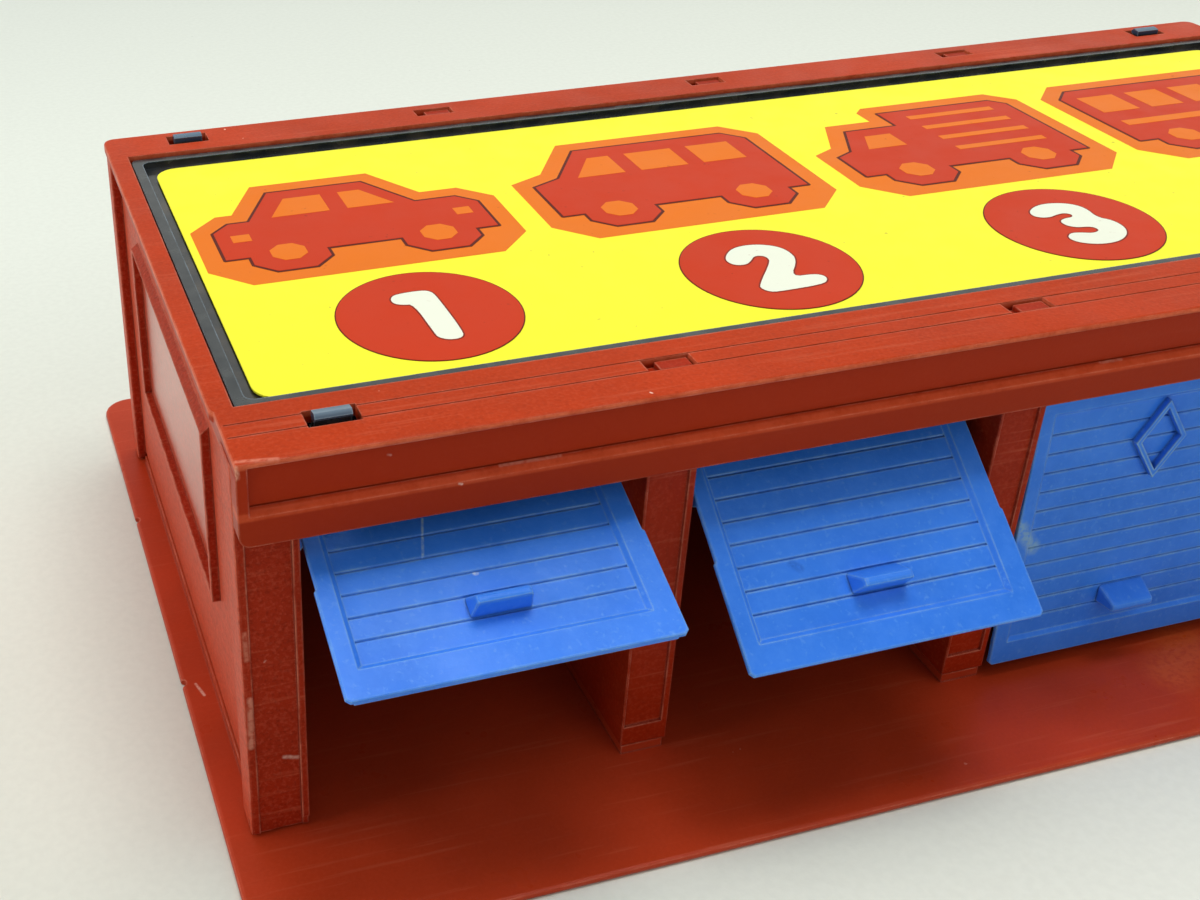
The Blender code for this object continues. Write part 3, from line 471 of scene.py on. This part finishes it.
def ink(name, colour, dark, rough=0.40):
    """One printed ink, slightly uneven, with specks of dust and a few scuffed spots."""
    material, tree = new_material(name)
    tone = blend_colours(tree, ramp(tree, noise(tree, 45.0, 5.0), 0.3, 0.75), colour, scaled(colour, 0.95))
    tone = blend_colours(tree, ramp(tree, noise(tree, 1100.0, 2.0), 0.70, 0.80, 0.0, 0.5), tone, dark)
    rubs = ramp(tree, noise(tree, 800.0, 1.0), 0.775, 0.79)
    rubs = overlap(tree, rubs, ramp(tree, noise(tree, 110.0), 0.50, 0.58), 0.6)
    tone = blend_colours(tree, rubs, tone, dark)
    surface(tree, tone, ramp(tree, noise(tree, 220.0), 0.3, 0.7, rough - 0.05, rough + 0.06), 0.1)
    return material


def grown(outline, reach):
    """The closed outline moved outwards by reach, its sharp corners cut off. It runs anticlockwise."""
    result = []
    for index, here in enumerate(outline):
        before, after = Vector(outline[index - 1]), Vector(outline[(index + 1) % len(outline)])
        here = Vector(here)
        first, second = (here - before).normalized(), (after - here).normalized()
        out_first, out_second = Vector((first.y, -first.x)), Vector((second.y, -second.x))
        corner = (out_first + out_second).normalized()
        if first.cross(second) > 0 and first.dot(second) < 0.4:
            result.append(tuple(here + reach * (out_first + 0.45 * first)))
            result.append(tuple(here + reach * (out_second - 0.45 * second)))
        else:
            result.append(tuple(here + corner * (reach / max(0.6, corner.dot(out_first)))))
    return result


def smoothed(outline, rounds=2):
    """The closed outline with its corners cut, so that it reads as a rounded stroke."""
    for _ in range(rounds):
        cut = []
        for index, here in enumerate(outline):
            here, after = Vector(here), Vector(outline[(index + 1) % len(outline)])
            cut += [tuple(here.lerp(after, 0.25)), tuple(here.lerp(after, 0.75))]
        outline = cut
    return outline


def moved(outline, x, y):
    return [(x + point[0], y + point[1]) for point in outline]


def circle(x, y, radius, facets, start=0.0):
    angles = [start + 2 * math.pi * step / facets for step in range(facets)]
    return [(x + radius * math.cos(angle), y + radius * math.sin(angle)) for angle in angles]


def box(left, low, right, high):
    return [(left, low), (right, low), (right, high), (left, high)]


def wheel_arch(middle):
    """The half wheel that a vehicle's outline dips round, from left to right."""
    steps = ((-5.2, -6.5), (-5.2, -8.9), (-2.6, -11.5), (2.6, -11.5), (5.2, -8.9), (5.2, -6.5))
    return moved(steps, middle, 0.0)


def print_layer(name, outlines, low, high, material):
    """Flat closed outlines, filled and raised from low to high (metres) as one piece."""
    drawing = bpy.data.curves.new(name, "CURVE")
    drawing.dimensions = "2D"
    drawing.fill_mode = "BOTH"
    drawing.extrude = (high - low) / 2
    for outline in outlines:
        line = drawing.splines.new("POLY")
        line.points.add(len(outline) - 1)
        for point, (x, y) in zip(line.points, outline):
            point.co = (x / 1000, y / 1000, 0.0, 1.0)
        line.use_cyclic_u = True
    piece = bpy.data.objects.new(name, drawing)
    bpy.context.scene.collection.objects.link(piece)
    bpy.ops.object.select_all(action="DESELECT")
    bpy.context.view_layer.objects.active = piece
    piece.select_set(True)
    bpy.ops.object.convert(target="MESH")
    piece = bpy.context.active_object
    piece.location.z = (low + high) / 2
    bpy.ops.object.transform_apply(location=True, rotation=True, scale=True)
    bpy.ops.object.mode_set(mode="EDIT")
    bpy.ops.mesh.select_all(action="SELECT")
    bpy.ops.mesh.remove_doubles(threshold=0.000002)
    bpy.ops.mesh.normals_make_consistent(inside=False)
    bpy.ops.object.mode_set(mode="OBJECT")
    piece.data.materials.clear()
    piece.data.materials.append(material)
    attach(piece, "garage")


label_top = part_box("roof_label")[1][2]
axles = (-10.5, 10.5)
sill = [(-19, -6.5), *wheel_arch(axles[0]), *wheel_arch(axles[1]), (19, -6.5)]
block_foot = [(-19, -8.2), (-15.8, -11.5), (15.8, -11.5), (19, -8.2)]
car = [(19, 2), (16.5, 4.5), (10.5, 4.5), (5.0, 13.5), (-9, 13.5), (-13.5, 4.5), (-16.5, 4.5), (-19, 2)]
car_lights = [
    [(-10.2, 5), (-1.8, 5), (-1.8, 10.8), (-7.2, 10.8)], [(0.8, 5), (7.6, 5), (4.0, 10.8), (0.8, 10.8)],
    box(-17, -1.6, -14.4, 0.6), box(14.8, -1.6, 17.2, 0.6),
]
van = [(19, 12.5), (16.2, 15.3), (-8.5, 15.3), (-14.5, 6), (-19, 4)]
van_lights = [
    [(-11.8, 5.4), (-4.2, 5.4), (-4.2, 12), (-7.6, 12)], box(-1.6, 5.4, 6.0, 12), box(8.6, 5.4, 15.6, 12),
]
truck = [(19, 13.5), (17, 15.5), (-3.4, 15.5), (-3.4, 10), (-12.5, 10), (-16, 2.5), (-19, 1)]
truck_lights = [
    [(-13, 2.6), (-6.4, 2.6), (-6.4, 7.4), (-10.8, 7.4)], box(0.2, -1.5, 15.6, -0.1),
    box(0.2, 2.9, 15.6, 4.3), box(0.2, 7.3, 15.6, 8.7), box(0.2, 11.7, 15.6, 13.1),
]
bus = [(19, 12.2), (16.0, 15.2), (-16.0, 15.2), (-19, 12.2)]
bus_lights = [
    box(-16.2, 5.2, -9.4, 12), box(-7.0, 5.2, -0.9, 12), box(1.5, 5.2, 7.6, 12), box(10.0, 5.2, 16.2, 12),
    box(-16.2, -0.6, 16.2, 1.4),
]
borders, keylines, bodies, lights = [], [], [], []
for middle, roof_line, windows in (
    (-71.6, car, car_lights), (-23.9, van, van_lights),
    (23.9, truck, truck_lights), (71.6, bus, bus_lights),
):
    placed = moved(sill + roof_line, middle, VEHICLES_Y)
    borders.append(grown(moved(block_foot + roof_line, middle, VEHICLES_Y), BORDER_REACH))
    keylines.append(grown(placed, KEYLINE_REACH))
    bodies.append(placed)
    hubs = [circle(axle, HUB_Y, HUB_R, HUB_FACETS, HUB_TURN) for axle in axles]
    lights += [moved(light, middle, VEHICLES_Y) for light in windows + hubs]
disc_middles = ((-69.8, -21.05), (-23.6, -21.75), (22.8, -21.55), (69.4, -21.55))
discs = [circle(x, y, DISC_R, DISC_FACETS) for x, y in disc_middles]
rings = [circle(x, y, RING_R, DISC_FACETS) for x, y in disc_middles]
one = [
    (-3.4, 5.8), (-2.5, 6.8), (1.1, 6.9), (2.1, 6.3), (2.4, 4.7), (2.5, -4.9), (2.0, -6.3), (0.3, -6.4),
    (-0.8, -5.4), (-0.9, -4.3), (-1.0, 3.6), (-2.4, 3.8), (-3.4, 4.5),
]
two = [
    (-4.0, 5.0), (-2.2, 6.9), (-0.1, 7.5), (2.1, 7.2), (4.1, 6.0), (4.9, 4.1), (4.6, 1.5), (1.3, -2.7),
    (4.6, -2.8), (5.6, -3.6), (5.4, -4.8), (4.1, -5.7), (-1.9, -5.9), (-3.2, -5.7), (-3.9, -4.6),
    (-3.6, -3.5), (0.9, 1.9), (1.3, 3.2), (0.9, 4.0), (-0.2, 4.2), (-1.2, 3.1), (-2.3, 2.2), (-3.8, 2.4),
    (-4.4, 3.6),
]
three = [
    (-3.3, 5.6), (-1.2, 6.9), (1.2, 7.1), (3.7, 6.2), (4.9, 4.3), (4.3, 1.1), (5.7, -0.3), (5.8, -2.7),
    (4.5, -4.8), (2.2, -6.2), (-0.5, -6.4), (-2.8, -5.5), (-3.8, -4.2), (-3.6, -3.0), (-2.5, -2.2),
    (-1.2, -2.4), (0.3, -3.1), (1.7, -2.7), (1.9, -1.7), (1.2, -1.1), (-0.5, -0.9), (-1.5, 0.1),
    (-1.4, 1.5), (-0.2, 2.1), (1.1, 2.1), (1.7, 2.9), (1.0, 3.7), (-0.4, 3.5), (-1.8, 3.0), (-3.2, 3.3),
    (-3.8, 4.2),
]
four = [
    (0.6, 6.9), (2.6, 7.0), (3.6, 6.0), (3.7, -0.6), (5.2, -0.9), (5.7, -2.0), (5.2, -3.2), (3.8, -3.6),
    (3.7, -5.4), (2.7, -6.5), (1.1, -6.4), (0.4, -5.3), (0.3, -3.6), (-4.2, -3.6), (-5.3, -2.8),
    (-5.2, -1.2), (-0.7, 5.9),
]
four_hole = [(0.35, 2.3), (-1.7, -0.7), (0.35, -0.7)]
four_middle = (69.4, -21.9)
numeral_middles = ((-69.9, -21.65), (-23.8, -22.35), (22.7, -22.15), four_middle)
figures = [
    moved(smoothed(shape[::-1]), *middle) for middle, shape in zip(numeral_middles, (one, two, three, four))
]
counter = moved(smoothed(four_hole, 1), *four_middle)
figure_edges = [grown(shape, NUMERAL_EDGE_REACH) for shape in figures] + [grown(counter, -0.2)]

dress("roof_label", ink("yellow print", YELLOW, YELLOW_SPECK, 0.36))
for layer, outlines, low, high, ink_name, colour, speck in (
    ("orange", borders, -0.00003, 0.00003, "orange ink", ORANGE, ORANGE_SPECK),
    ("keylines", keylines + rings, -0.00002, 0.00006, "dark keyline ink", KEYLINE_RED, KEYLINE_SPECK),
    ("red", bodies + discs, -0.00001, 0.00009, "red ink", PRINT_RED, PRINT_RED_SPECK),
    ("windows", lights, 0.00002, 0.00012, "orange ink of the windows", ORANGE, ORANGE_SPECK),
    ("numeral_edges", figure_edges, 0.00002, 0.00011, "dark red ink", EDGE_RED, EDGE_RED_SPECK),
    ("numerals", figures + [counter], 0.00002, 0.00014, "white ink", WHITE, WHITE_SPECK),
):
    material = ink(ink_name, colour, speck)
    print_layer(f"label_print_{layer}", outlines, label_top + low, label_top + high, material)

# The doors are blue mouldings, satin and a little greasy, with planks, a handle and a diamond.
# Their edges are painted a pale greenish white, for scuffing and painted highlight together, their
# grooves and corners are darkened with painted shade, and each has its own clouds and scratches.
BLUE_CLOUDS = (0.030, 0.196, 0.830), (0.044, 0.236, 0.940)
PAINTED_SHADE_BLUE, MOTTLE_BLUE, FLECK_BLUE = (0.010, 0.045, 0.200), (0.085, 0.300, 0.960), (0.17, 0.42, 0.92)
WORN_AND_HIGHLIT_GREEN = (0.40, 0.66, 0.68)
DOOR_EDGE_SCUFF_AND_HIGHLIGHT_REACH, DOOR_CORNER_SHADE_REACH, DOOR_ROUNDING = 0.00050, 0.0008, 0.00018
door_marks = {
    1: (((-0.0779, -0.0433, 0.0426), (-0.0793, -0.0479, 0.0408), 0.00022, (0.45, 0.64, 0.88), 0.8),
        ((-0.0742, -0.0509, 0.0396), (-0.0740, -0.0509, 0.0396), 0.00035, (0.75, 0.85, 0.95), 0.9)),
    2: (((-0.0347, -0.0525, 0.0334), (-0.0338, -0.0531, 0.0330), 0.00070, (0.020, 0.120, 0.600), 0.6),),
    3: (((0.0040, -0.0455, 0.0257), (0.0072, -0.0452, 0.0216), 0.00140, (0.33, 0.54, 0.62), 0.6),),
}
for number in range(1, 5):
    blue, tree = new_material(f"blue plastic of door {number}")
    clouds = ramp(tree, noise(tree, 90.0, 4.0, 0.5, shift=(0.1 * number, 0.0, 0.0)), 0.3, 0.7)
    skin = blend_colours(tree, clouds, *BLUE_CLOUDS)
    outer_edge_mask, corner_shade_mask = edges(tree, DOOR_EDGE_SCUFF_AND_HIGHLIGHT_REACH, DOOR_CORNER_SHADE_REACH)
    # Grooves and inward corners are darkened: painted shade.
    skin = blend_colours(tree, overlap(tree, corner_shade_mask, 0.7), skin, PAINTED_SHADE_BLUE)
    mottle = noise(tree, 520.0, 5.0, 0.7, shift=(0.0, 0.1 * number, 0.0))
    skin = blend_colours(tree, ramp(tree, mottle, 0.44, 0.66, 0.0, 0.26), skin, MOTTLE_BLUE)
    flecks = ramp(tree, noise(tree, 1500.0, 3.0), 0.60, 0.80, 0.0, 0.40)
    skin = blend_colours(tree, flecks, skin, FLECK_BLUE)
    patchy = ramp(tree, noise(tree, 300.0, 5.0, 0.65), 0.36, 0.58, 0.30, 1.0)
    # Outward edges turn a pale greenish white: scuffing and painted highlight.
    skin = blend_colours(tree, overlap(tree, outer_edge_mask, patchy, 0.75), skin, WORN_AND_HIGHLIT_GREEN)
    skin = add_marks(tree, skin, door_marks.get(number, ()))
    rounded = add_node(tree, "ShaderNodeBevel", {"samples": 4}, Radius=DOOR_ROUNDING).outputs["Normal"]
    height = noise(tree, 1700.0)
    grain = add_node(tree, "ShaderNodeBump", Strength=1.0, Distance=0.00003, Height=height, Normal=rounded)
    satin = ramp(tree, noise(tree, 120.0), 0.3, 0.7, 0.30, 0.44)
    surface(tree, skin, satin, 0.15, grain.outputs["Normal"])
    dress(f"door_{number}", blue)

# The size of what shows.
low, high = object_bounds()
